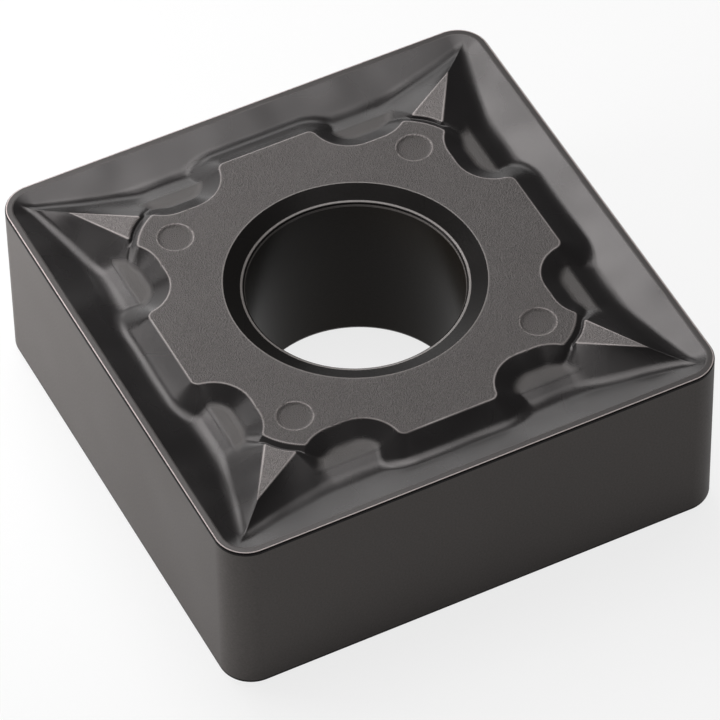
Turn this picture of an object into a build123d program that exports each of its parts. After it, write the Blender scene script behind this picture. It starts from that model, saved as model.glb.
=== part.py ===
from build123d import *

import os
from math import cos, radians, sin, sqrt, tan

# Square double-sided turning insert of cemented carbide, in millimetres: one pressed and sintered piece.
# The origin is on the bore's axis in the lower seat plane, and +Z runs along the bore.

# Body
inscribed_circle = 12.70  # across the flanks, also the side of the square
thickness = 4.76  # between the two seat planes
nose_radius = 0.80

# Bore with a countersunk mouth on each face
bore_diameter = 5.16
mouth_diameter = 6.17
mouth_depth = 0.18
mouth_edge_width = 0.11  # rounded edge between the mouth and the bore
mouth_edge_depth = 0.10

# Cutting edge: hone, land and rake face
edge_drop = 0.09  # cutting edge below the seat plane
hone_radius = 0.05
land_width = 0.12
rake_angle = 17.0
rake_corner_radius = 0.05  # inner corner between two rake faces
groove_depth = 0.46  # lowest level of the chip groove, below the cutting edge

# Seat: the raised field round the bore, with a tab on each side and a lobe towards each corner
seat_setback = 1.59  # cutting edge to the straight front of a tab
tab_corner_radius = 0.15
wall_slope = 26.0  # walls of the seat and the tongues, from the seat plane

# Bays: two round recesses in each side of the seat
bay_radius = 1.00
bay_setback = 1.56  # cutting edge to the centres of a bay's two arcs
bay_corner_distance = 3.69  # corner-side centre, from the next cutting edge round the corner
bay_flat = 0.42  # straight between the two arcs
bay_sweep = 40.0  # how far the corner-side arc runs past the bay's bottom, in the seat plane
bay_sweep_floor = 18.8  # the same at the level of the bay's floor
bay_floor_depth = 0.26  # below the seat plane

# Step: the ledge that makes the floor of the bays
step_setback = 1.60  # cutting edge to the ledge's outer edge
step_slope = 22.0

# Lobe of the seat, and the tongue that points into each corner
lobe_setback = 2.63  # both cutting edges to the lobe's outermost point
ring_groove_width = 0.25  # between the lobe and the tongue
tongue_tip_setback = 1.39
heel_width = 0.707  # between the two heel corners of the tongue
heel_hollow = 0.052  # how far the curved heel stands out between its corners
heel_radius = 0.08
heel_radius_growth = 0.25  # of the heel ridge's run, towards the foot of the tongue
heel_slope = 50.0
heel_ridge_slope = 17.9  # ridge that runs down from each heel corner into the bay
heel_ridge_direction = 141.6  # of that ridge in plan, from +X, at the corner between +X and +Y
tip_ridge_slope = 11.5  # ridge that runs down from the tip towards the nose

# Pressed dimples in the seat
dimple_setback = 3.21
dimple_diameter = 0.88
dimple_depth = 0.07
dimple_wall_width = 0.06

half = inscribed_circle / 2
seat = thickness / 2  # height above the mid-plane
edge = seat - edge_drop
groove_floor = edge - groove_depth
wall = tan(radians(wall_slope))
arc_middle = 1 - sqrt(0.5)  # where the middle of a quarter round lies, as a share of its width
tolerance = 0.001


def outline(segments):
    """Face inside a closed outline of lines (two points) and arcs (three points)."""
    return make_face([Line(*s) if len(s) == 2 else ThreePointArc(*s) for s in segments])


def ruled(lower, lower_level, upper, upper_level):
    """Solid whose walls run straight from one flat outline up to another."""
    return loft([Pos(0, 0, lower_level) * lower, Pos(0, 0, upper_level) * upper], ruled=True)


def across(segments):
    """Segments mirrored in the diagonal of the corner, in walking order."""
    return [[Vector(p.Y, p.X) for p in reversed(s)] for s in reversed(segments)]


def around(solid):
    """The four copies of a solid round the bore."""
    return [Rot(0, 0, 90 * k) * solid for k in range(4)]


def seat_outline(grow):
    """Outline of the seat grown outwards: tab, bay and lobe of each corner, then their mirror images."""
    near = Vector(half - bay_corner_distance - bay_flat, half - bay_setback)
    far = Vector(half - bay_corner_distance, half - bay_setback)
    bay = bay_radius - grow
    tab_y = half - seat_setback - tab_corner_radius
    reach = bay_radius + tab_corner_radius
    tab = Vector(near.X - sqrt(reach**2 - (near.Y - tab_y) ** 2), tab_y)
    turn = tab_corner_radius + grow
    toward_bay = (near - tab).normalized()
    middle = (toward_bay + Vector(0, 1)).normalized()
    front = tab + Vector(0, turn)
    meet = tab + toward_bay * turn
    bottom = Vector(0, -bay)
    sweep = bay_sweep + (bay_sweep_floor - bay_sweep) * grow * wall / bay_floor_depth

    def past_bottom(angle):
        return far + Vector(sin(radians(angle)), -cos(radians(angle))) * bay

    octant = [
        [Vector(0, front.Y), front],
        [front, tab + middle * turn, meet],
        [meet, near - middle * bay, near + bottom],
        [near + bottom, far + bottom],
        [far + bottom, past_bottom(sweep / 2), past_bottom(sweep)],
    ]
    horn = past_bottom(sweep)
    lobe = half - lobe_setback + grow / sqrt(2)
    quarter = [*octant, [horn, Vector(lobe, lobe), Vector(horn.Y, horn.X)], *across(octant)]
    turned = [[p.rotate(Axis.Z, -90 * k) for p in s] for k in range(4) for s in quarter]
    return outline(turned)


def tab_outline(grow):
    """Outline of one tab of the seat with its round corners, grown outwards."""
    near_x = half - bay_corner_distance - bay_flat
    drop = half - bay_setback - (half - seat_setback - tab_corner_radius)
    reach = bay_radius + tab_corner_radius
    width = near_x - sqrt(reach**2 - drop**2) + tab_corner_radius + grow
    length = half - seat_setback + grow
    return RectangleRounded(2 * width, 2 * length, tab_corner_radius + grow)


def tongue_outline(depth):
    """Outline of the tongue at a depth below the seat plane: two flanks from the tip to a curved heel."""
    diagonal = Vector(1, 1).normalized()
    square_to_diagonal = Vector(-1, 1).normalized()
    lobe_end = Vector(half - lobe_setback, half - lobe_setback)
    crown = lobe_end + diagonal * ring_groove_width
    heel = crown - diagonal * heel_hollow + square_to_diagonal * (heel_width / 2)
    tip = Vector(half - tongue_tip_setback, half - tongue_tip_setback)
    heel_run = depth / tan(radians(heel_ridge_slope))
    crown -= diagonal * (depth / tan(radians(heel_slope)))
    heel += Vector(cos(radians(heel_ridge_direction)), sin(radians(heel_ridge_direction))) * heel_run
    tip += diagonal * (depth / tan(radians(tip_ridge_slope)))
    far_heel = Vector(heel.Y, heel.X)
    face = outline([[heel, tip], [tip, far_heel], [far_heel, crown, heel]])
    heels = face.vertices().sort_by(Axis((0, 0, 0), (1, 1, 0)))[:2]
    return fillet(heels, heel_radius + heel_radius_growth * heel_run)


def rake_outline(inset):
    """Outline of the rake faces, inset from the inner edge of the land."""
    land = hone_radius + land_width
    radius = nose_radius - land - inset
    return RectangleRounded(2 * (half - land - inset), 2 * (half - land - inset), radius)


def build_island():
    """Everything that stands up inside the chip groove: seat, step and four tongues."""
    floor_level = seat - bay_floor_depth
    upper_run = bay_floor_depth / wall
    whole_run = (seat - groove_floor) / wall
    upper = ruled(seat_outline(upper_run), floor_level, seat_outline(0), seat)
    tab = ruled(tab_outline(whole_run), groove_floor, tab_outline(upper_run), floor_level)
    step_top = 2 * (half - step_setback)
    step_foot = step_top + 2 * (floor_level - groove_floor) / tan(radians(step_slope))
    step = ruled(Rectangle(step_foot, step_foot), groove_floor, Rectangle(step_top, step_top), floor_level)
    tongue = ruled(tongue_outline(seat - groove_floor), groove_floor, tongue_outline(0), seat)
    return upper + [tab, Rot(0, 0, 90) * tab, step] + around(tongue)


def build_bowl():
    """Space over the land and the rake faces, up to the seat plane and beyond."""
    slope = tan(radians(rake_angle))
    nose_inset = nose_radius - hone_radius - land_width - rake_corner_radius
    above = Pos(0, 0, edge) * Box(2 * half, 2 * half, seat, align=(Align.CENTER, Align.CENTER, Align.MIN))
    nose_level = edge - nose_inset * slope
    upper = ruled(rake_outline(nose_inset), nose_level, rake_outline(0), edge)
    inner = rake_outline(nose_inset)
    width = 2 * (half - hone_radius - land_width - nose_inset - (nose_level - groove_floor) / slope)
    lower = ruled(RectangleRounded(width, width, rake_corner_radius), groove_floor, inner, nose_level)
    return above + upper + lower


def build_bore():
    """Bore with its countersunk mouths, as one turned tool."""
    bore = bore_diameter / 2
    mouth = mouth_diameter / 2
    lip = bore + mouth_edge_width
    lip_level = seat - mouth_depth
    bore_level = lip_level - mouth_edge_depth
    bulge = (bore + mouth_edge_width * arc_middle, lip_level - mouth_edge_depth * arc_middle)
    with BuildSketch(Plane.XZ) as profile:
        with BuildLine():
            Polyline((0, 0), (bore, 0), (bore, bore_level))
            ThreePointArc((bore, bore_level), bulge, (lip, lip_level))
            Polyline((lip, lip_level), (mouth, seat), (mouth, thickness), (0, thickness), (0, 0))
        make_face()
    upper = revolve(profile.sketch, Axis.Z)
    return upper + mirror(upper, Plane.XY)


def build_dimple():
    """Shallow dish with a steep rim, pressed into the seat at one corner."""
    rim = dimple_diameter / 2
    floor = rim - dimple_wall_width
    with BuildSketch(Plane.XZ) as profile:
        Polygon((0, -dimple_depth), (floor, -dimple_depth), (rim, 0), (rim, seat), (0, seat), align=None)
    place = half - dimple_setback
    return Pos(place, place, seat) * revolve(profile.sketch, Axis.Z)


def on_cutting_edge(line):
    """Whether an edge of the insert runs between a flank and a land."""
    middle = line.center()
    if line.geom_type == GeomType.CIRCLE:
        outermost = abs(line.radius - nose_radius) < tolerance
    else:
        outermost = max(abs(middle.X), abs(middle.Y)) > half - tolerance
    return outermost and abs(abs(middle.Z) - edge) < tolerance


def build_insert():
    """The whole insert, with the same chipbreaker pressed into both faces."""
    body = extrude(RectangleRounded(inscribed_circle, inscribed_circle, nose_radius), seat, both=True)
    relief = build_bowl() - build_island()
    body -= relief
    body -= mirror(relief, Plane.XY)
    body = fillet(body.edges().filter_by(on_cutting_edge), hone_radius)
    for dimple in around(build_dimple()):
        body -= dimple
        body -= mirror(dimple, Plane.XY)
    return body - build_bore()


insert = build_insert()
os.makedirs("parts", exist_ok=True)
export_step(Pos(0, 0, seat) * insert, "parts/insert.step")
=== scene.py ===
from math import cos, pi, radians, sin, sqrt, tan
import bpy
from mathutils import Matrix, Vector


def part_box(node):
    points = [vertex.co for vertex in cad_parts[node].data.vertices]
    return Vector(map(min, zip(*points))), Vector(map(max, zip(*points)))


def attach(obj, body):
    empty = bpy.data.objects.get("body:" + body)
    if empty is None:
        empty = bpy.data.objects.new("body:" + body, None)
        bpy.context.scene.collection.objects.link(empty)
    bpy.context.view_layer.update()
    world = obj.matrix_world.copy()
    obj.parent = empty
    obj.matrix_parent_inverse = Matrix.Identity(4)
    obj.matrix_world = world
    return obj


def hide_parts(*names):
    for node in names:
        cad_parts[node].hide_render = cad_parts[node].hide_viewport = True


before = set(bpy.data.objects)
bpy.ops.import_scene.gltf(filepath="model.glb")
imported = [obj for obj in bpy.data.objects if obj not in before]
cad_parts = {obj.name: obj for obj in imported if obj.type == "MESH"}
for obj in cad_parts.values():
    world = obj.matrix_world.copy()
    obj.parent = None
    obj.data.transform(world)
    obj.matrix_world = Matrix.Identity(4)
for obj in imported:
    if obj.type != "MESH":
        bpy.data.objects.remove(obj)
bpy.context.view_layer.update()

# Square turning insert of cemented carbide: one pressed, sintered and coated piece on a pale stage.
# The frame is in metres. The shape functions work in millimetres, from the centre of the upper seat plane.

from types import SimpleNamespace

import bpy
import numpy as np
from bpy.props import FloatProperty, FloatVectorProperty, IntProperty, PointerProperty
from mathutils import Matrix, Vector

bl_info = {
    "name": "Turning Insert",
    "version": (1, 0, 0),
    "blender": (4, 5, 0),
    "location": "View3D > Sidebar > Insert",
    "description": "Builds a coated carbide turning insert with a pressed chipbreaker on each face",
    "category": "Add Mesh",
}

MM = 0.001
TINY = 1e-9
NODE = "insert"
LOW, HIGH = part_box(NODE)
CENTRE = (LOW + HIGH) / 2

# Regions of the skin, each with its own material; on the hone and the lip some of them carry painted
# highlight and shade
FACE, LAND, HONE_HIGHLIGHT, HONE_SHADE, FLANK, MOUTH, LIP_HIGHLIGHT, BORE = range(8)
# Regions of the edge strip's rows, from the rake face to the flank: the land, a painted highlight along the
# top of the hone, and painted shade on its lower part and on a band of the flank below it
EDGE_REGIONS = [LAND] * 6 + [HONE_HIGHLIGHT] * 2 + [HONE_SHADE] * 5
# Regions of the bore strip's rows, from the seat to the bore's wall: a painted highlight on the mouth's rim,
# its cone, and on the lip a painted highlight, a line of painted shade in the mouth's colour and another
# painted highlight
BORE_REGIONS = [LIP_HIGHLIGHT] * 3 + [MOUTH] * 4 + [LIP_HIGHLIGHT] * 2 + [MOUTH] * 2 + [LIP_HIGHLIGHT] * 2
BLEND_ROWS = 5  # rows of points across a narrow rounding
ROUND_ROWS = 7  # rows of points round the hone or the lip

RIDGE_FADE = 2.0  # fade of the lobe's extra fall beside the horn's ridge, per length along it
SLOPE_STEP = 0.002  # millimetres to each side, for measuring a slope
MASKS = ("seat", "rim", "tongue", "ledge")  # finishes of the face's parts and the painted highlight along the seat's rims, from zero to one at each point
RIM_HIGHLIGHT_SPREAD = 0.8  # depth over which the painted rim highlight fades, in seat bands
RIM_HIGHLIGHT_START = 3.0  # rise of the painted rim highlight at the seat's edge, per seat band

# Grain and drift of the finishes, in millimetres
SEAT_GRAIN = 0.03
SEAT_GRAIN_CONTRAST = 0.8
SEAT_GRAIN_DEPTH = 0.040
LEDGE_GRAIN_DEPTH = 0.009
FACE_GRAIN_DEPTH = 0.001
FACE_CLOUD = 1.6
FACE_WAVE = 2.0
WAVE_DEPTH = 0.05  # slow waves of the rake faces and the walls
SATIN_GRAIN = 0.05
SATIN_GRAIN_DEPTH = 0.002
SATIN_CLOUD = 2.5

# Roughness, specular level and tint of the coating
FACE_ROUGHNESS = 0.20
BLASTED_ROUGHNESS = 0.22  # more on the seat and the bays' floors
FACE_CLOUD_ROUGHNESS = 0.12
SATIN_CLOUD_ROUGHNESS = 0.08
FACE_GLOSS = 0.5
COATING_TINT = (1.0, 0.95, 0.945, 1.0)
RIM_HIGHLIGHT_SHARE = 0.7  # share of the rim's colour, a painted highlight, on the seat's rims
TONGUE_RIM_HIGHLIGHT = 0.25  # more painted highlight on the tongues' rims

# Plain finishes, in the order of their regions: roughness, specular level and contrast of the grain; the
# colours that go with the hone's bright line, the hone and the lip are painted highlight and shade
FINISHES = {
    "land": (0.35, 0.5, 0.2),
    "bead": (0.30, 0.5, 0.2),
    "hone": (0.30, 0.1, 0.1),
    "flank": (0.42, 0.05, 0.2),
    "mouth": (0.22, 0.08, 0.2),
    "lip": (0.30, 0.6, 0.2),
    "bore": (0.30, 0.10, 0.2),
}

FLOOR_REACH = 0.6  # metres, from the origin to the floor's edges
WHITE_SHARE = 0.8  # white in what the floor shows to the camera and in reflections
AMBIENT = 0.10  # strength of the even light from all round
SENSOR = 36  # width in millimetres
CLIP_NEAR, CLIP_FAR = 0.01, 10  # metres
# Lamps: azimuth and elevation in degrees round the bore, distance and size in millimetres, and radiance
LAMPS = {
    "overhead": (135, 75, 90, 50, 2.4),
    "overhead_left": (170, 75, 90, 45, 1.2),
    "left_high": (180, 60, 90, 45, 2.1),
    "left_middle": (188, 50, 90, 30, 4.2),
    "left_low": (162, 17, 90, 45, 1.7),
    "left_near": (190, 20, 30, 16, 1.2),
    "front_near": (240, 30, 25, 12, 4.2),
    "front": (262, 22, 90, 45, 1.8),
    "flank_near": (228, 15, 20, 8, 2.5),
}


def length(name, description, millimetres):
    """A length that a user may change, shown in the scene's own units."""
    default = millimetres * MM
    return FloatProperty(name=name, description=description, default=default, unit="LENGTH", precision=5)


def angle(name, description, degrees):
    """An angle that a user may change."""
    return FloatProperty(name=name, description=description, default=radians(degrees), subtype="ANGLE")


def colour(name, description, linear):
    """A colour that a user may change."""
    return FloatVectorProperty(
        name=name, description=description, default=linear, subtype="COLOR", min=0, max=1,
    )


class BodySizes(bpy.types.PropertyGroup):
    """Outline, bore and cutting edge."""

    inscribed_circle: length("Inscribed circle", "Across the flanks", (HIGH.x - LOW.x) / MM)
    thickness: length("Thickness", "Between the two seat planes", (HIGH.z - LOW.z) / MM)
    nose_radius: length("Nose radius", "Vertical corners of the square", 0.80)
    bore_diameter: length("Bore", "Diameter of the bore", 5.16)
    mouth_diameter: length("Mouth", "Diameter of the countersunk mouth at the seat", 6.17)
    mouth_depth: length("Mouth depth", "Depth of the mouth's cone", 0.18)
    lip_width: length("Lip width", "Rounded edge between mouth and bore, across", 0.11)
    lip_depth: length("Lip depth", "Rounded edge between mouth and bore, along the bore", 0.10)
    edge_drop: length("Edge drop", "Cutting edge below the seat plane", 0.09)
    hone_radius: length("Hone radius", "Rounding of the cutting edge", 0.05)
    land_width: length("Land width", "Flat land behind the cutting edge", 0.12)
    # The hone's painted shade runs on over this band of the flank
    dark_band: length("Dark band", "Band of the flank below the hone that keeps the hone's finish", 0.04)
    land_blend: length("Land blend", "Rounding between land and rake face", 0.03)


class ChipbreakerSizes(bpy.types.PropertyGroup):
    """The form pressed into each face."""

    rake_angle: angle("Rake angle", "Slope of the rake faces", 17.0)
    groove_depth: length("Groove depth", "Lowest level of the chip groove, below the cutting edge", 0.46)
    seat_setback: length("Tab setback", "Cutting edge to the straight front of a tab", 1.59)
    tab_corner_radius: length("Tab corner", "Corner radius of a tab", 0.15)
    wall_slope: angle("Wall slope", "Walls of the seat and the tongues", 26.0)
    bay_radius: length("Bay radius", "Arcs of a bay", 1.00)
    bay_setback: length("Bay setback", "Cutting edge to the centres of the bay's arcs", 1.56)
    bay_corner_distance: length("Bay to corner", "Corner-side centre to the next cutting edge", 3.69)
    bay_flat: length("Bay flat", "Straight between the two arcs", 0.42)
    bay_sweep: angle("Bay sweep", "Corner-side arc past the bay's bottom, in the seat plane", 40.0)
    bay_sweep_floor: angle("Bay sweep at floor", "The same at the level of the bay's floor", 18.8)
    bay_floor_depth: length("Bay floor depth", "Step below the seat plane", 0.26)
    step_setback: length("Step setback", "Cutting edge to the step's outer edge", 1.68)
    step_slope: angle("Step slope", "Outer slope of the step", 16.0)
    lobe_setback: length("Lobe setback", "Both cutting edges to the lobe's outermost point", 2.63)
    ring_groove_width: length("Ring groove", "Between the lobe and the tongue", 0.25)
    tongue_tip_setback: length("Tongue tip setback", "Both cutting edges to the tongue's tip", 1.39)
    heel_width: length("Heel width", "Between the two heel corners of the tongue", 0.707)
    heel_hollow: length("Heel hollow", "How far the curved heel stands out between its corners", 0.052)
    heel_slope: angle("Heel slope", "Wall of the tongue on the ring groove", 50.0)
    heel_ridge_slope: angle("Heel ridge slope", "Ridge from each heel corner down into the bay", 17.9)
    heel_ridge_direction: angle("Heel ridge direction", "In plan, from +X at the +X +Y corner", 141.6)
    tip_ridge_slope: angle("Tip ridge slope", "Ridge from the tip down towards the nose", 11.5)
    heel_fade: length("Heel fade", "Run over which the heel's wall eases past its corner", 0.15)
    heel_round: FloatProperty(name="Heel round", description="Growth of the heel's rounding", default=0.6)
    dimple_setback: length("Dimple setback", "Both cutting edges to the dimple's centre", 3.21)
    dimple_diameter: length("Dimple diameter", "Round mark pressed into the seat", 0.88)
    dimple_depth: length("Dimple depth", "Depth of the dimple", 0.05)
    dimple_wall: length("Dimple wall", "Width of the dimple's wall", 0.08)
    dimple_blend: length("Dimple blend", "Width of the roundings of the dimple's wall", 0.045)
    valley_blend: length("Valley blend", "Width of the rounding along the valleys", 0.36)
    rim_blend: length("Rim blend", "Width of the rounding along the seat's rim", 0.05)
    mouth_blend: length("Mouth blend", "Width of the rounding along the bore's mouth", 0.03)
    seat_band: length("Seat band", "Depth over which the seat's finish ends", 0.007)
    ledge_band: length("Ledge band", "Height over the bays' floors at which their finish ends", 0.035)
    ring_reach: length("Ring reach", "Where the rings round the bore have become squares", 4.2)
    crease_blend: length("Crease blend", "Width of the rounding between two pressed slopes", 0.06)
    floor_blend: length("Floor blend", "Width of the rounding between the bays' walls and floors", 0.16)


class MeshSizes(bpy.types.PropertyGroup):
    """How finely the surfaces are divided."""

    blocks: IntProperty(name="Blocks", description="Blocks across a face", default=40)
    hole_blocks: IntProperty(name="Hole blocks", description="Blocks across the bore", default=16)
    block_cells: IntProperty(name="Cells", description="Fine cells across a block", default=16)
    slope_error: FloatProperty(name="Slope error", description="Largest slope error", default=0.018)
    place_error: length("Place error", "Largest error of a cell's outline", 0.0015)


class FinishColours(bpy.types.PropertyGroup):
    """Colours of the coated surfaces."""

    seat: colour("Seat", "Blasted seat", (0.094, 0.0855, 0.083))
    tongue: colour("Tongue", "Tops of the tongues", (0.175, 0.160, 0.156))
    relief: colour("Relief", "Rake faces and walls of the chipbreaker", (0.012, 0.0109, 0.0111))
    ledge: colour("Ledge", "Matt floors of the bays", (0.065, 0.060, 0.058))
    # Rim: painted highlight along the rims of the seat, the tongues and the dimples
    rim: colour("Rim", "Worn rims of the seat and the tongues", (0.50, 0.45, 0.44))
    land: colour("Land", "Land of the cutting edge", (0.040, 0.036, 0.035))
    # Painted highlight: the bright line along the top of the hone
    bead: colour("Bead", "Bright line along the top of the hone", (0.50, 0.43, 0.42))
    # Painted shade: the near-black lower part of the hone and the band of the flank below it
    hone: colour("Hone", "Lower part of the hone, under the bright line", (0.005, 0.004, 0.004))
    flank: colour("Flank", "Sides", (0.135, 0.124, 0.119))
    # The mouth's colour also paints a line of shade across the lip
    mouth: colour("Mouth", "Countersunk mouth of the bore", (0.010, 0.0092, 0.0088))
    # Painted highlight: bright lines on the rim of the mouth and on the lip
    lip: colour("Lip", "Rounded edges of the mouth", (0.170, 0.155, 0.148))
    bore: colour("Bore", "Wall of the bore", (0.015, 0.0115, 0.008))
    floor: colour("Floor", "Pale stage under the insert", (0.90, 0.90, 0.90))


class StageSettings(bpy.types.PropertyGroup):
    """Camera."""

    lens: FloatProperty(name="Lens", description="Focal length in millimetres", default=308.43)
    distance: length("Distance", "Camera to the point it looks at", 144.84)
    azimuth: angle("Azimuth", "Camera's direction round the bore, from +X", -25.94)
    elevation: angle("Elevation", "Camera above the horizon", 48.06)
    roll: angle("Roll", "Turn of the picture", -1.184)
    aim: FloatVectorProperty(
        name="Aim", description="Point that the camera looks at", subtype="TRANSLATION",
        default=(0.389 * MM, -0.116 * MM, 2.38 * MM), precision=5,
    )


def sizes_in_millimetres(group):
    """The group's values as plain numbers, with every length in millimetres."""
    values = {}
    for key, prop in group.bl_rna.properties.items():
        if prop.type in {"FLOAT", "INT"} and not getattr(prop, "is_array", False):
            value = getattr(group, key)
            values[key] = value / MM if prop.type == "FLOAT" and prop.unit == "LENGTH" else value
    return values


def all_sizes(scene):
    """Body, chipbreaker and mesh sizes in one namespace."""
    groups = (scene.insert_body, scene.insert_chipbreaker, scene.insert_mesh)
    s = SimpleNamespace(**{k: v for g in groups for k, v in sizes_in_millimetres(g).items()})
    s.half = s.inscribed_circle / 2
    s.rim_setback = s.hone_radius + s.land_width + s.land_blend
    return s


def soft_max(a, b, width, slope_change):
    """The larger of two heights, with their meeting line rounded: the larger plus (k - |a - b|)^2 / 4k where
    the two differ by less than k. Two slopes that differ by slope_change meet in a round of the width."""
    k = width * slope_change / 2
    return np.maximum(a, b) + np.maximum(k - np.abs(a - b), 0) ** 2 / (4 * k)


def soft_min(a, b, width, slope_change):
    """The smaller of two heights, rounded in the same way."""
    return -soft_max(-a, -b, width, slope_change)


def round_max(a, b, radius):
    """Distance outside two outlines that meet at about a right angle, with a corner of the radius."""
    inside = np.minimum(np.maximum(a + radius, b + radius), 0)
    return inside + np.hypot(np.maximum(a + radius, 0), np.maximum(b + radius, 0)) - radius


def setback(x, y, s):
    """Distance inwards from the cutting edge: a square with round noses, measured along its normal."""
    qx = np.abs(x) - (s.half - s.nose_radius)
    qy = np.abs(y) - (s.half - s.nose_radius)
    outside = np.hypot(np.maximum(qx, 0), np.maximum(qy, 0)) + np.minimum(np.maximum(qx, qy), 0)
    return s.nose_radius - outside


def rake_height(distance, s):
    """Land, rake face and groove floor by distance from the cutting edge: flat, then down at one angle."""
    slope = tan(s.rake_angle)
    land = np.full_like(distance, -s.edge_drop)
    ramp = -s.edge_drop - (distance - s.hone_radius - s.land_width) * slope
    floor = -s.edge_drop - s.groove_depth
    return np.maximum(soft_min(land, ramp, s.land_blend, slope), floor)


def seat_height(a, b, s):
    """Seat and its walls, for a point of one octant (a across, b outwards, a below b). The walls fall at one
    slope from the outline: the tab's front and the bay's slot, then the bay and the lobe's round front.
    Beyond the horn, where bay and lobe meet, the lobe's wall falls faster, so that the ridge between them
    runs down to the floor."""
    wall = tan(s.wall_slope)
    near = s.half - s.bay_corner_distance - s.bay_flat
    far = s.half - s.bay_corner_distance
    deep = s.half - s.bay_setback
    front = b - (s.half - s.seat_setback)
    bay = s.bay_radius - np.hypot(a - np.clip(a, near, far), np.minimum(b - deep, 0))
    tab = wall * round_max(front, bay, s.tab_corner_radius)
    horn = Vector((far, deep)) + s.bay_radius * Vector((sin(s.bay_sweep), -cos(s.bay_sweep)))
    foot_radius = s.bay_radius - s.bay_floor_depth / wall
    foot = Vector((far, deep)) + foot_radius * Vector((sin(s.bay_sweep_floor), -cos(s.bay_sweep_floor)))
    end = (s.half - s.lobe_setback) * sqrt(2)
    back, aside = end - (horn.x + horn.y) / sqrt(2), (horn.y - horn.x) / sqrt(2)
    radius = (back**2 + aside**2) / (2 * back)
    centre = (end - radius) / sqrt(2)
    ridge = foot - horn
    foot_out = (foot - Vector((centre, centre))).length - radius
    fall = (s.bay_floor_depth - wall * foot_out) / ridge.length_squared
    # On the bay's side of the ridge this extra fall fades, so that the bay's wall stays round
    beside = np.maximum((b - horn.y) * ridge.x - (a - horn.x) * ridge.y, 0)
    beyond = np.maximum((a - horn.x) * ridge.x + (b - horn.y) * ridge.y - RIDGE_FADE * beside, 0)
    lobe = wall * (np.hypot(a - centre, b - centre) - radius) + fall * beyond
    lobe = soft_max(wall * bay, lobe, s.crease_blend, 2 * wall)
    drop = np.where(a < (near + far) / 2, tab, lobe)
    return soft_min(-drop, np.zeros_like(drop), s.rim_blend, wall)


def tongue_height(a, b, s):
    """Tongue at a corner: level with the seat, and down along two flanks and a hollow heel. A flank's level
    lines run straight from the ridge below the heel corner to the ridge below the tip, so its depth at a
    place solves a quadratic equation. The heel's wall is steeper, and runs on beside the ridge below the
    heel corner."""
    end = (s.half - s.lobe_setback) * sqrt(2) + s.ring_groove_width
    heel, side = end - s.heel_hollow, s.heel_width / 2
    corner = Vector((heel - side, heel + side)) / sqrt(2)
    tip = Vector((1, 1)) * (s.half - s.tongue_tip_setback)
    heel_direction = Vector((cos(s.heel_ridge_direction), sin(s.heel_ridge_direction)))
    heel_run = heel_direction / tan(s.heel_ridge_slope)
    tip_run = Vector((1, 1)).normalized() / tan(s.tip_ridge_slope)
    flank, spread = tip - corner, tip_run - heel_run
    out_a, out_b = a - corner.x, b - corner.y
    outside = flank.x * out_b - flank.y * out_a
    linear = out_a * spread.y - out_b * spread.x - heel_run.cross(flank)
    square = linear**2 - 4 * heel_run.cross(spread) * outside
    flank_depth = 2 * outside / np.maximum(linear + np.sqrt(np.maximum(square, 0)), TINY)
    along, aside = (a + b) / sqrt(2), (b - a) / sqrt(2)
    beyond = np.maximum(aside - side, 0)
    turn = s.heel_ridge_direction - pi / 4
    line = end - s.heel_hollow * np.minimum(aside / side, 1) ** 2 + beyond / tan(turn)
    wall, heel_wall = tan(s.wall_slope), tan(s.heel_slope)
    steep = wall + (heel_wall - wall) * np.exp(-beyond / s.heel_fade)
    heel_depth = (line - along) * steep + beyond * tan(s.heel_ridge_slope) / sin(turn)
    drop = soft_max(flank_depth, heel_depth, s.crease_blend + s.heel_round * beyond, heel_wall)
    share = np.clip((heel_depth - flank_depth) / s.rim_blend + 0.5, 0, 1)
    return soft_min(-drop, np.zeros_like(drop), s.rim_blend, wall + share * (heel_wall - wall))


def ledge_height(b, s):
    """Step that makes the bays' floors, by distance from the bore's axis: flat, then down at one slope."""
    slope = tan(s.step_slope)
    fall = -s.bay_floor_depth - slope * (b - (s.half - s.step_setback))
    return soft_min(fall, np.full_like(fall, -s.bay_floor_depth), s.crease_blend, slope)


def pressed_height(x, y, s):
    """Height of the pressed form over the seat plane: the larger of the rake faces and of what stands up
    inside them, which is the seat with its walls, the step and the tongue."""
    a = np.minimum(np.abs(x), np.abs(y))
    b = np.maximum(np.abs(x), np.abs(y))
    wall = tan(s.wall_slope)
    step = ledge_height(b, s)
    island = soft_max(seat_height(a, b, s), step, s.floor_blend, wall)
    island = soft_max(island, tongue_height(a, b, s), s.floor_blend, wall)
    rake = rake_height(setback(x, y, s), s)
    z = soft_max(rake, island, s.valley_blend, wall + tan(s.rake_angle))
    return np.minimum(z, 0)


def ledge_mask(x, y, pressed, s):
    """One on the bays' flat floors: it fades with the height over the step and at the step's outer edge."""
    b = np.maximum(np.abs(x), np.abs(y))
    above = (pressed - ledge_height(b, s)) / s.ledge_band
    inside = (s.half - s.step_setback - b) / s.floor_blend
    return np.exp(-above**2) * np.clip(inside + 0.5, 0, 1)


def dimple_height(x, y, s):
    """Shallow round dishes in the seat, one towards each corner: flat floors inside sloped walls."""
    centre = s.half - s.dimple_setback
    outside = np.hypot(np.abs(x) - centre, np.abs(y) - centre) - s.dimple_diameter / 2
    slope = s.dimple_depth / s.dimple_wall
    dish = soft_max(outside * slope, np.full_like(outside, -s.dimple_depth), s.dimple_blend, slope)
    return soft_min(dish, np.zeros_like(dish), s.dimple_blend, slope)


def relief(x, y, s):
    """Height of the upper face over the seat plane."""
    return pressed_height(x, y, s) + dimple_height(x, y, s)


def grid_sizes(s):
    """Fine cells across a face, and from its rim to the hole for the bore."""
    return s.blocks * s.block_cells, (s.blocks - s.hole_blocks) // 2 * s.block_cells


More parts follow.
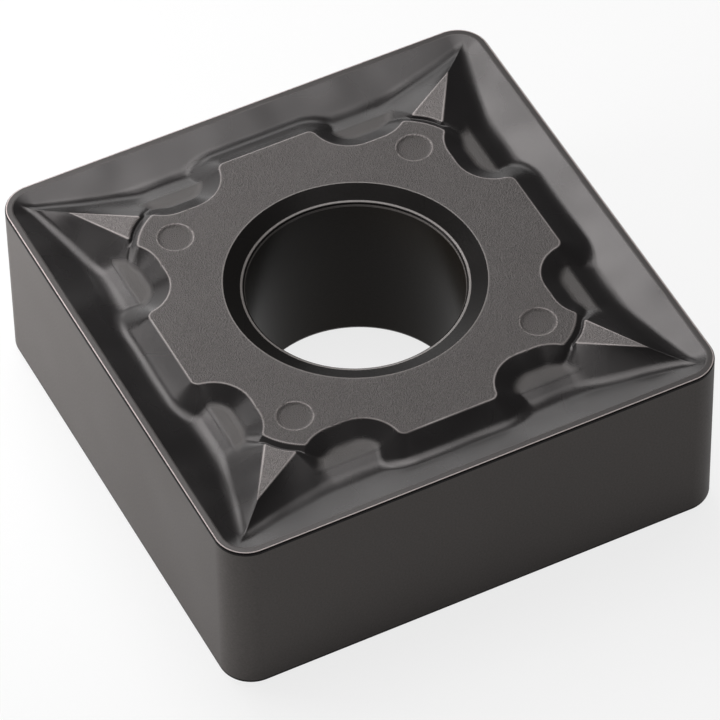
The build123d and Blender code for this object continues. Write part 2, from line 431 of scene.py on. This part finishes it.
def face_places(s):
    """Places (x, y) of a square sheet of fine cells: its rim runs round the noses a little inside the
    cutting edge, and its middle opens into the circle of the bore's mouth."""
    n, _ = grid_sizes(s)
    rim = s.half - s.rim_setback
    line = np.linspace(-rim, rim, n + 1)
    p, q = np.meshgrid(line, line, indexing="ij")
    m = np.maximum(np.maximum(np.abs(p), np.abs(q)), TINY)
    # Towards a nose the two legs of each square ring are wrapped round an arc
    bend = np.maximum(s.nose_radius - (s.half - m), 0)
    legs = np.maximum(np.stack([np.abs(p), np.abs(q)]) - (m - bend), 0)
    safe = np.maximum(bend, TINY)
    turn = (legs[1] - legs[0] + bend) / (2 * safe) * (pi / 2)
    wrapped = (legs[0] > 0) & (legs[1] > 0) & (bend > 0)
    x = np.where(wrapped, np.sign(p) * (m - bend + bend * np.cos(turn)), p)
    y = np.where(wrapped, np.sign(q) * (m - bend + bend * np.sin(turn)), q)
    # Towards the bore each square ring turns into a circle
    hole = rim * s.hole_blocks / s.blocks
    weight = np.clip((s.ring_reach - m) / (s.ring_reach - hole), 0, 1)
    radius = s.mouth_diameter / 2 + s.mouth_blend + (m - hole)
    along = np.where(np.abs(p) >= np.abs(q), q, p) / m * (pi / 4)
    major, minor = radius * np.cos(along), radius * np.sin(along)
    steep = np.abs(p) >= np.abs(q)
    circle_x = np.where(steep, np.sign(p) * major, minor)
    circle_y = np.where(steep, minor, np.sign(q) * major)
    return x + weight * (circle_x - x), y + weight * (circle_y - y)


def bilinear_error(field, size):
    """Largest difference between the field in each block of cells and the blend of its four corners."""
    windows = np.lib.stride_tricks.sliding_window_view(field, (size + 1, size + 1))[::size, ::size]
    t = np.linspace(0, 1, size + 1)
    first = windows[..., :1, :] * (1 - t[:, None]) + windows[..., -1:, :] * t[:, None]
    blend = first[..., :1] * (1 - t) + first[..., -1:] * t
    return np.abs(windows - blend).max((2, 3))


def choose_cells(places, slopes, s, finest):
    """Square cells that cover the sheet outside the hole, from a block's size down to the finest: the
    largest in which slopes and places stay within their errors. Returns (size, first rows, first columns)
    for each size."""
    n, hole = grid_sizes(s)
    free = np.ones((n, n), bool)
    free[hole:n - hole, hole:n - hole] = False
    chosen = []
    size = s.block_cells
    while size >= finest:
        blocks = free.reshape(n // size, size, n // size, size).all((1, 3))
        if size > finest:
            for field in slopes:
                blocks &= bilinear_error(field, size) < s.slope_error
            for field in places:
                blocks &= bilinear_error(field, size) < s.place_error
        rows, columns = np.nonzero(blocks)
        chosen.append((size, rows * size, columns * size))
        free &= ~np.repeat(np.repeat(blocks, size, 0), size, 1)
        size //= 2
    return chosen


def cell_corners(chosen, n):
    """Mask of the grid points that are a corner of a chosen cell."""
    used = np.zeros((n + 1, n + 1), bool)
    for size, rows, columns in chosen:
        for i, j in ((0, 0), (size, 0), (0, size), (size, size)):
            used[rows + i, columns + j] = True
    return used


def cell_loops(chosen, used, ids):
    """Corner ids of each cell, counterclockwise, with every used grid point on its rim, and each cell's
    count."""
    corners, counts = [], []
    for size, rows, columns in chosen:
        k = np.arange(size)
        rim_i = np.concatenate([k, np.full(size, size), size - k, np.zeros(size, int)])
        rim_j = np.concatenate([np.zeros(size, int), k, np.full(size, size), size - k])
        i, j = rows[:, None] + rim_i, columns[:, None] + rim_j
        kept = used[i, j]
        corners.append(ids[i, j][kept])
        counts.append(kept.sum(1))
    return np.concatenate(corners), np.concatenate(counts)


def square_ring(first, last):
    """Grid points round a square ring, counterclockwise."""
    k = np.arange(first, last)
    back = first + last - k
    low, high = np.full_like(k, first), np.full_like(k, last)
    return np.concatenate([k, high, back, low]), np.concatenate([low, k, high, back])


def strip_loops(rows, outward):
    """Quads between rows of ids that run round the insert, facing outwards."""
    a, b = rows[:-1], rows[1:]
    next_a, next_b = np.roll(a, -1, 1), np.roll(b, -1, 1)
    quads = [a, b, next_b, next_a] if outward else [a, next_a, next_b, b]
    return np.stack(quads, -1).reshape(-1, 4)


def edge_profile(s):
    """Land and hone from the face's rim to the flank: reach outwards from the rim, height, and the outward
    and upward parts of the normal."""
    crease = s.hone_radius + s.land_width + s.land_blend * np.linspace(0.5, -0.5, BLEND_ROWS)
    fall = (crease - crease[-1]) / s.land_blend * tan(s.rake_angle)
    tilt = np.hypot(1, fall)
    turn = np.linspace(pi / 2, 0, ROUND_ROWS)
    hone_height = -s.edge_drop - s.hone_radius * (1 - np.sin(turn))
    foot = -s.edge_drop - s.hone_radius - s.dark_band
    distance = np.concatenate([crease, s.hone_radius * (1 - np.cos(turn)), [0]])
    height = np.concatenate([rake_height(crease, s), hone_height, [foot]])
    outward = np.concatenate([-fall / tilt, np.cos(turn), [1]])
    upward = np.concatenate([1 / tilt, np.sin(turn), [0]])
    return s.rim_setback - distance, height, outward, upward


def bore_profile(s):
    """Mouth's cone and lip from the seat to the bore's wall: reach outwards from the face's inner rim,
    height, and the outward and upward parts of the normal."""
    mouth, bore = s.mouth_diameter / 2, s.bore_diameter / 2
    cone = s.mouth_depth / (mouth - bore - s.lip_width)
    round_in = np.linspace(0.5, -0.5, BLEND_ROWS)
    rim = mouth + s.mouth_blend * round_in
    rim_height = soft_min(np.zeros(BLEND_ROWS), (rim - mouth) * cone, s.mouth_blend, cone)
    rim_fall = (0.5 - round_in) * cone
    shoulder = bore + s.lip_width + s.mouth_blend * np.array([0.5, 0.0])
    shoulder_height = -s.mouth_depth + (shoulder - shoulder[-1]) * cone
    shoulder_fall = np.full(len(shoulder), cone)
    turn = np.linspace(pi / 2, 0, ROUND_ROWS)[1:]
    lip = bore + s.lip_width * (1 - np.cos(turn))
    lip_height = -s.mouth_depth - s.lip_depth * (1 - np.sin(turn))
    inward = np.concatenate([rim_fall, shoulder_fall, np.cos(turn) / s.lip_width])
    upward = np.concatenate([np.ones(len(rim) + len(shoulder)), np.sin(turn) / s.lip_depth])
    tilt = np.hypot(inward, upward)
    radius = np.concatenate([rim, shoulder, lip])
    height = np.concatenate([rim_height, shoulder_height, lip_height])
    return radius - (mouth + s.mouth_blend), height, -inward / tilt, upward / tilt


def unit(vectors):
    """Vectors scaled to a length of one."""
    return vectors / np.linalg.norm(vectors, axis=1, keepdims=True)


def outline_normals(x, y, s):
    """Unit vectors square to the outline, at places on the rim of a face."""
    beyond = np.maximum(np.stack([np.abs(x), np.abs(y)], 1) - (s.half - s.nose_radius), 0)
    return unit(beyond * np.sign(np.stack([x, y], 1)))


def swept(flat, vertical):
    """Rows of vectors from their flat parts and one vertical part for each row, as one list."""
    upright = np.broadcast_to(vertical[:, None, None], (*flat.shape[:2], 1))
    return np.concatenate([flat, upright], 2).reshape(-1, 3)


def new_skin():
    """Empty lists for the skin's points and faces, which are added part by part."""
    masks = {name: [] for name in MASKS}
    return SimpleNamespace(total=0, points=[], normals=[], masks=masks, corners=[], counts=[], regions=[])


def add_points(skin, points, normals, masks=None):
    """Add points with their normals and masks, and return their ids. Masks that aren't given are zero."""
    for name in MASKS:
        skin.masks[name].append(masks[name] if masks else np.zeros(len(points)))
    skin.points.append(points)
    skin.normals.append(normals)
    skin.total += len(points)
    return np.arange(skin.total - len(points), skin.total)


def add_faces(skin, corners, counts, regions):
    """Add faces: the ids of their corners, how many each has, and its region."""
    skin.corners.append(corners)
    skin.counts.append(counts)
    skin.regions.append(regions)


def face_sheet(s):
    """Places, heights, slopes and masks of one pressed face, on the whole fine grid."""
    x, y = face_places(s)
    pressed = pressed_height(x, y, s)
    z = pressed + dimple_height(x, y, s)
    slope_x = (relief(x + SLOPE_STEP, y, s) - relief(x - SLOPE_STEP, y, s)) / (2 * SLOPE_STEP)
    slope_y = (relief(x, y + SLOPE_STEP, s) - relief(x, y - SLOPE_STEP, s)) / (2 * SLOPE_STEP)
    fallen = -z / s.seat_band
    tongue_start = (s.half - s.lobe_setback) * sqrt(2) + s.ring_groove_width / 2
    masks = {
        "seat": 1 - np.clip(-pressed / s.seat_band, 0, 1),
        # Painted highlight along the seat's rims, just below the seat plane
        "rim": np.exp(-((fallen - 1) / RIM_HIGHLIGHT_SPREAD) ** 2) * np.clip(RIM_HIGHLIGHT_START * fallen, 0, 1),
        "tongue": (np.abs(x) + np.abs(y)) / sqrt(2) > tongue_start,
        "ledge": ledge_mask(x, y, pressed, s),
    }
    return SimpleNamespace(x=x, y=y, z=z, slope_x=slope_x, slope_y=slope_y, masks=masks)


def add_face(skin, sheet, cells, used, side, s):
    """Add a pressed face, the upper one with side 1 or the lower with side -1. Returns the grid of ids."""
    height = sheet.z if side > 0 else -s.thickness - sheet.z
    points = np.stack([sheet.x[used], sheet.y[used], height[used]], 1)
    normals = unit(np.stack([-sheet.slope_x[used], -sheet.slope_y[used], np.ones(used.sum())], 1))
    ids = np.full(used.shape, -1)
    masks = {name: mask[used] for name, mask in sheet.masks.items()}
    ids[used] = add_points(skin, points, normals * (1, 1, side), masks)
    corners, counts = cell_loops(cells, used, ids)
    if side < 0:
        corners, counts = corners[::-1], counts[::-1]
    add_faces(skin, corners, counts, np.full(len(counts), FACE))
    return ids


def add_strip(skin, base, out, profile, kinds, rims, outward, s):
    """Add a strip of quads round the insert, from the upper face's rim to the lower's: rows of points by the
    profile and then by its mirror image, each with the same reach along the vectors out from the base."""
    reach, height, across, upward = profile
    reach = np.concatenate([reach, reach[::-1]])
    height = np.concatenate([height, -s.thickness - height[::-1]])
    across = np.concatenate([across, across[::-1]])
    upward = np.concatenate([upward, -upward[::-1]])
    points = swept(base + reach[:, None, None] * out, height)
    normals = swept(across[:, None, None] * out, upward)
    ids = add_points(skin, points, normals).reshape(len(height), -1)
    quads = strip_loops(np.concatenate([rims[0][None], ids, rims[1][None]]), outward)
    regions = np.repeat(kinds + kinds[-2::-1], len(base))
    add_faces(skin, quads.ravel(), np.full(len(quads), 4), regions)


def make_mesh(name, skin):
    """Mesh of the gathered skin, in the frame, with its own normals and masks."""
    points = np.concatenate(skin.points) * MM + np.array([CENTRE.x, CENTRE.y, HIGH.z])
    corners, counts = np.concatenate(skin.corners), np.concatenate(skin.counts)
    mesh = bpy.data.meshes.new(name)
    mesh.vertices.add(len(points))
    mesh.vertices.foreach_set("co", points.ravel())
    mesh.loops.add(len(corners))
    mesh.loops.foreach_set("vertex_index", corners)
    mesh.polygons.add(len(counts))
    mesh.polygons.foreach_set("loop_start", np.concatenate([[0], np.cumsum(counts)[:-1]]))
    mesh.polygons.foreach_set("material_index", np.concatenate(skin.regions))
    mesh.polygons.foreach_set("use_smooth", np.ones(len(counts), bool))
    mesh.update(calc_edges=True)
    if mesh.validate(verbose=False):
        raise RuntimeError("The insert's mesh has faulty faces")
    mesh.normals_split_custom_set_from_vertices(np.concatenate(skin.normals))
    for mask, values in skin.masks.items():
        paint(mesh, mask, np.concatenate(values))
    return mesh


def build_insert_mesh(name, s):
    """One closed skin: two pressed faces as thinned-out sheets, joined by the edge strip and the bore strip.
    The lower face has coarser cells, apart from its rims."""
    n, hole = grid_sizes(s)
    sheet = face_sheet(s)
    rings = (square_ring(0, n), square_ring(hole, n - hole))
    fields = (sheet.x, sheet.y), (sheet.slope_x, sheet.slope_y)
    cells = [choose_cells(*fields, s, finest) for finest in (1, 2)]
    used = [cell_corners(chosen, n) for chosen in cells]
    for ring in rings:
        used[1][ring] = used[0][ring]
    skin = new_skin()
    grids = [add_face(skin, sheet, *upper_or_lower, s) for upper_or_lower in zip(cells, used, (1, -1))]
    strips = ((edge_profile(s), EDGE_REGIONS + [FLANK]), (bore_profile(s), BORE_REGIONS + [BORE]))
    for ring, (profile, kinds), outer in zip(rings, strips, (True, False)):
        kept = used[0][ring]
        base = np.stack([sheet.x[ring][kept], sheet.y[ring][kept]], 1)
        out = outline_normals(*base.T, s) if outer else unit(base)
        rims = [grid[ring][kept] for grid in grids]
        add_strip(skin, base, out, profile, kinds, rims, outer, s)
    return make_mesh(name, skin)


def paint(mesh, name, values):
    """Store one value per vertex, which the materials read by its name."""
    layer = mesh.attributes.new(name, "FLOAT", "POINT")
    layer.data.foreach_set("value", values.astype(np.float32))


def add_node(tree, kind, inputs=None, **settings):
    """Add a shader node, with its properties set and its inputs set or linked."""
    node = tree.nodes.new("ShaderNode" + kind)
    for key, value in settings.items():
        setattr(node, key, value)
    for key, value in (inputs or {}).items():
        if isinstance(value, bpy.types.NodeSocket):
            tree.links.new(value, node.inputs[key])
        else:
            node.inputs[key].default_value = value
    return node


def calculate(tree, operation, first, second=0.0, third=0.0):
    """Result of a Math node."""
    return add_node(tree, "Math", {0: first, 1: second, 2: third}, operation=operation).outputs[0]


def blend(tree, factor, first, second):
    """Blend of two colours."""
    return add_node(tree, "Mix", {0: factor, 6: first, 7: second}, data_type="RGBA").outputs[2]


def new_group(name, inputs, outputs):
    """Empty shader node group with sockets, its input node and its output node."""
    tree = bpy.data.node_groups.new(name, "ShaderNodeTree")
    for label, default in inputs.items():
        socket = tree.interface.new_socket(label, in_out="INPUT", socket_type="NodeSocketFloat")
        socket.default_value = default
    for label in outputs:
        tree.interface.new_socket(label, in_out="OUTPUT", socket_type="NodeSocketFloat")
    return tree, tree.nodes.new("NodeGroupInput").outputs, tree.nodes.new("NodeGroupOutput").inputs


def object_noise(tree, scale, detail):
    """Noise in the insert's own coordinates."""
    place = add_node(tree, "TexCoord").outputs["Object"]
    return add_node(tree, "TexNoise", {"Vector": place, "Scale": scale, "Detail": detail}).outputs[0]


def grain_group():
    """Fine grain of a sintered and coated surface: a height, and a tone that varies about one."""
    tree, given, result = new_group("fine_grain", {"Size": 0.05 * MM, "Contrast": 0.1}, ("Height", "Tone"))
    scale = calculate(tree, "DIVIDE", 1, given["Size"])
    height = object_noise(tree, scale, 2)
    spread = calculate(tree, "MULTIPLY_ADD", height, 2, -1)
    tone = calculate(tree, "MULTIPLY_ADD", spread, given["Contrast"], 1)
    tree.links.new(height, result["Height"])
    tree.links.new(tone, result["Tone"])
    return tree


def drift_group():
    """Slow cloudy drift of a coating, from zero to one."""
    tree, given, result = new_group("slow_drift", {"Size": 2 * MM}, ("Value",))
    drift = object_noise(tree, calculate(tree, "DIVIDE", 1, given["Size"]), 1)
    tree.links.new(calculate(tree, "MULTIPLY_ADD", drift, 2, -0.5), result["Value"])
    return tree


def use_group(tree, group, **inputs):
    """Outputs of a node group in a material."""
    return add_node(tree, "Group", inputs, node_tree=group).outputs


def new_material(name):
    """Material with a Principled shader, its node tree and the shader's inputs."""
    material = bpy.data.materials.new(name)
    material.use_nodes = True
    tree = material.node_tree
    return material, tree, tree.nodes["Principled BSDF"].inputs


def tinted(tree, base, tone):
    """A colour multiplied by a tone."""
    return add_node(tree, "VectorMath", {0: base, "Scale": tone}, operation="SCALE").outputs[0]


def bumped(tree, height, depth):
    """Normal of a bump of the given depth."""
    return add_node(tree, "Bump", {"Height": height, "Strength": 1, "Distance": depth}).outputs[0]


def face_material(colours, grain, drift):
    """Pressed face: a blasted seat, matt floors in the bays, satin walls and rake faces, and a painted
    highlight along the rims.
    """
    material, tree, shader = new_material("carbide_face")
    seat, rim, tongue, ledge = (add_node(tree, "Attribute", attribute_name=m).outputs["Fac"] for m in MASKS)
    fine = use_group(tree, grain, Size=SEAT_GRAIN * MM, Contrast=SEAT_GRAIN_CONTRAST)
    cloud = use_group(tree, drift, Size=FACE_CLOUD * MM)["Value"]
    top = blend(tree, tongue, (*colours.seat, 1), (*colours.tongue, 1))
    low = blend(tree, ledge, (*colours.relief, 1), (*colours.ledge, 1))
    base = blend(tree, seat, low, top)
    # Painted highlight along the rims, stronger on the tongues
    rim_highlight = calculate(tree, "MULTIPLY", rim, calculate(tree, "MULTIPLY_ADD", tongue, TONGUE_RIM_HIGHLIGHT, RIM_HIGHLIGHT_SHARE))
    base = blend(tree, rim_highlight, base, (*colours.rim, 1))
    speckle = calculate(tree, "MULTIPLY_ADD", calculate(tree, "SUBTRACT", fine["Tone"], 1), seat, 1)
    tree.links.new(tinted(tree, base, speckle), shader["Base Color"])
    blasted = calculate(tree, "MAXIMUM", seat, ledge)
    rough = calculate(tree, "MULTIPLY_ADD", blasted, BLASTED_ROUGHNESS, FACE_ROUGHNESS)
    rough = calculate(tree, "MULTIPLY_ADD", cloud, FACE_CLOUD_ROUGHNESS, rough)
    tree.links.new(rough, shader["Roughness"])
    shader["Specular IOR Level"].default_value = FACE_GLOSS
    shader["Specular Tint"].default_value = COATING_TINT
    depth = calculate(tree, "MULTIPLY_ADD", seat, SEAT_GRAIN_DEPTH, FACE_GRAIN_DEPTH)
    depth = calculate(tree, "MULTIPLY_ADD", ledge, LEDGE_GRAIN_DEPTH, depth)
    height = calculate(tree, "MULTIPLY", fine["Height"], depth)
    waves = use_group(tree, drift, Size=FACE_WAVE * MM)["Value"]
    wave_depth = calculate(tree, "MULTIPLY_ADD", seat, -WAVE_DEPTH, WAVE_DEPTH)
    height = calculate(tree, "MULTIPLY_ADD", waves, wave_depth, height)
    tree.links.new(bumped(tree, height, MM), shader["Normal"])
    return material


def satin_material(name, base, roughness, gloss, contrast, grain, drift):
    """Coated satin surface with a fine grain and a slow drift of its roughness."""
    material, tree, shader = new_material(name)
    fine = use_group(tree, grain, Size=SATIN_GRAIN * MM, Contrast=contrast)
    cloud = use_group(tree, drift, Size=SATIN_CLOUD * MM)["Value"]
    tree.links.new(tinted(tree, (*base,), fine["Tone"]), shader["Base Color"])
    rough = calculate(tree, "MULTIPLY_ADD", cloud, SATIN_CLOUD_ROUGHNESS, roughness)
    tree.links.new(rough, shader["Roughness"])
    shader["Specular IOR Level"].default_value = gloss
    shader["Specular Tint"].default_value = COATING_TINT
    tree.links.new(bumped(tree, fine["Height"], SATIN_GRAIN_DEPTH * MM), shader["Normal"])
    return material


def floor_material(colours):
    """Pale matt floor that shows white to the camera and in reflections, and keeps the shadow."""
    material, tree, shader = new_material("stage_floor")
    shader["Base Color"].default_value = (*colours.floor, 1)
    shader["Roughness"].default_value = 1
    shader["Specular IOR Level"].default_value = 0
    path = add_node(tree, "LightPath").outputs
    seen = calculate(tree, "MAXIMUM", path["Is Camera Ray"], path["Is Glossy Ray"])
    seen = calculate(tree, "MAXIMUM", seen, path["Is Transmission Ray"])
    white = add_node(tree, "Emission", {"Color": (1, 1, 1, 1), "Strength": 1.0}).outputs[0]
    share = calculate(tree, "MULTIPLY", seen, WHITE_SHARE)
    matt = tree.nodes["Principled BSDF"].outputs[0]
    mixed = add_node(tree, "MixShader", {0: share, 1: matt, 2: white})
    tree.links.new(mixed.outputs[0], tree.nodes["Material Output"].inputs[0])
    return material


class INSERT_OT_skin(bpy.types.Operator):
    """Build the insert's skin"""

    bl_idname = "insert.skin"
    bl_label = "Insert"

    def execute(self, context):
        mesh = build_insert_mesh("carbide_insert", all_sizes(context.scene))
        piece = bpy.data.objects.new("carbide_insert", mesh)
        context.scene.collection.objects.link(piece)
        colours = context.scene.insert_colours
        grain, drift = grain_group(), drift_group()
        mesh.materials.append(face_material(colours, grain, drift))
        for name, finish in FINISHES.items():
            base = getattr(colours, name)
            mesh.materials.append(satin_material("carbide_" + name, base, *finish, grain, drift))
        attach(piece, "root")
        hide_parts(NODE)
        return {"FINISHED"}


def pointing(back, roll=0.0):
    """Rotation of a camera or a lamp that looks along the reverse of a direction."""
    return back.to_track_quat("Z", "Y").to_matrix() @ Matrix.Rotation(roll, 3, "Z")


def direction(azimuth, elevation):
    """Unit vector towards a place on the sky."""
    return Vector((cos(azimuth) * cos(elevation), sin(azimuth) * cos(elevation), sin(elevation)))


def add_lamp(scene, name, azimuth, elevation, distance, size, radiance):
    """Square panel of an even radiance that faces the insert."""
    lamp = bpy.data.lights.new(name, "AREA")
    lamp.size = size * MM
    lamp.energy = radiance * pi * lamp.size**2
    panel = bpy.data.objects.new(name, lamp)
    scene.collection.objects.link(panel)
    back = direction(radians(azimuth), radians(elevation))
    panel.matrix_world = Matrix.Translation(CENTRE + back * distance * MM) @ pointing(back).to_4x4()


class INSERT_OT_stage(bpy.types.Operator):
    """Set the floor, the lamps and the camera"""

    bl_idname = "insert.stage"
    bl_label = "Stage"

    def execute(self, context):
        scene = context.scene
        stage = scene.insert_stage
        data = bpy.data.cameras.new("camera")
        data.lens = stage.lens
        data.sensor_width = SENSOR
        data.clip_start, data.clip_end = CLIP_NEAR, CLIP_FAR
        camera = bpy.data.objects.new("camera", data)
        scene.collection.objects.link(camera)
        scene.camera = camera
        back = direction(stage.azimuth, stage.elevation)
        place = Matrix.Translation(Vector(stage.aim) + back * stage.distance)
        camera.matrix_world = place @ pointing(back, stage.roll).to_4x4()
        world = bpy.data.worlds.new("studio")
        scene.world = world
        world.use_nodes = True
        background = world.node_tree.nodes["Background"].inputs
        background["Color"].default_value = (1, 1, 1, 1)
        background["Strength"].default_value = AMBIENT
        for name, values in LAMPS.items():
            add_lamp(scene, name, *values)
        mesh = bpy.data.meshes.new("stage_floor")
        signs = ((-1, -1), (1, -1), (1, 1), (-1, 1))
        corners = [(FLOOR_REACH * i, FLOOR_REACH * j, LOW.z) for i, j in signs]
        mesh.from_pydata(corners, [], [(0, 1, 2, 3)])
        mesh.materials.append(floor_material(scene.insert_colours))
        floor = bpy.data.objects.new("stage_floor", mesh)
        scene.collection.objects.link(floor)
        scene.view_settings.view_transform = "Standard"
        return {"FINISHED"}


class INSERT_PT_panel(bpy.types.Panel):
    """Lists the insert and the stage"""

    bl_idname = "INSERT_PT_panel"
    bl_label = "Insert"
    bl_space_type = "VIEW_3D"
    bl_region_type = "UI"
    bl_category = "Insert"

    def draw(self, context):
        self.layout.operator("insert.skin")
        self.layout.operator("insert.stage")


GROUPS = {
    "insert_body": BodySizes,
    "insert_chipbreaker": ChipbreakerSizes,
    "insert_mesh": MeshSizes,
    "insert_colours": FinishColours,
    "insert_stage": StageSettings,
}
CLASSES = (*GROUPS.values(), INSERT_OT_skin, INSERT_OT_stage, INSERT_PT_panel)


def register():
    """Register the classes, and add the sizes and colours to the scene."""
    for cls in CLASSES:
        bpy.utils.register_class(cls)
    for name, group in GROUPS.items():
        setattr(bpy.types.Scene, name, PointerProperty(type=group))


def unregister():
    """Remove the sizes and colours from the scene, and the classes."""
    for name in GROUPS:
        delattr(bpy.types.Scene, name)
    for cls in reversed(CLASSES):
        bpy.utils.unregister_class(cls)


def main():
    """Build the insert and its stage."""
    register()
    bpy.ops.insert.skin()
    bpy.ops.insert.stage()


if __name__ == "__main__":
    main()
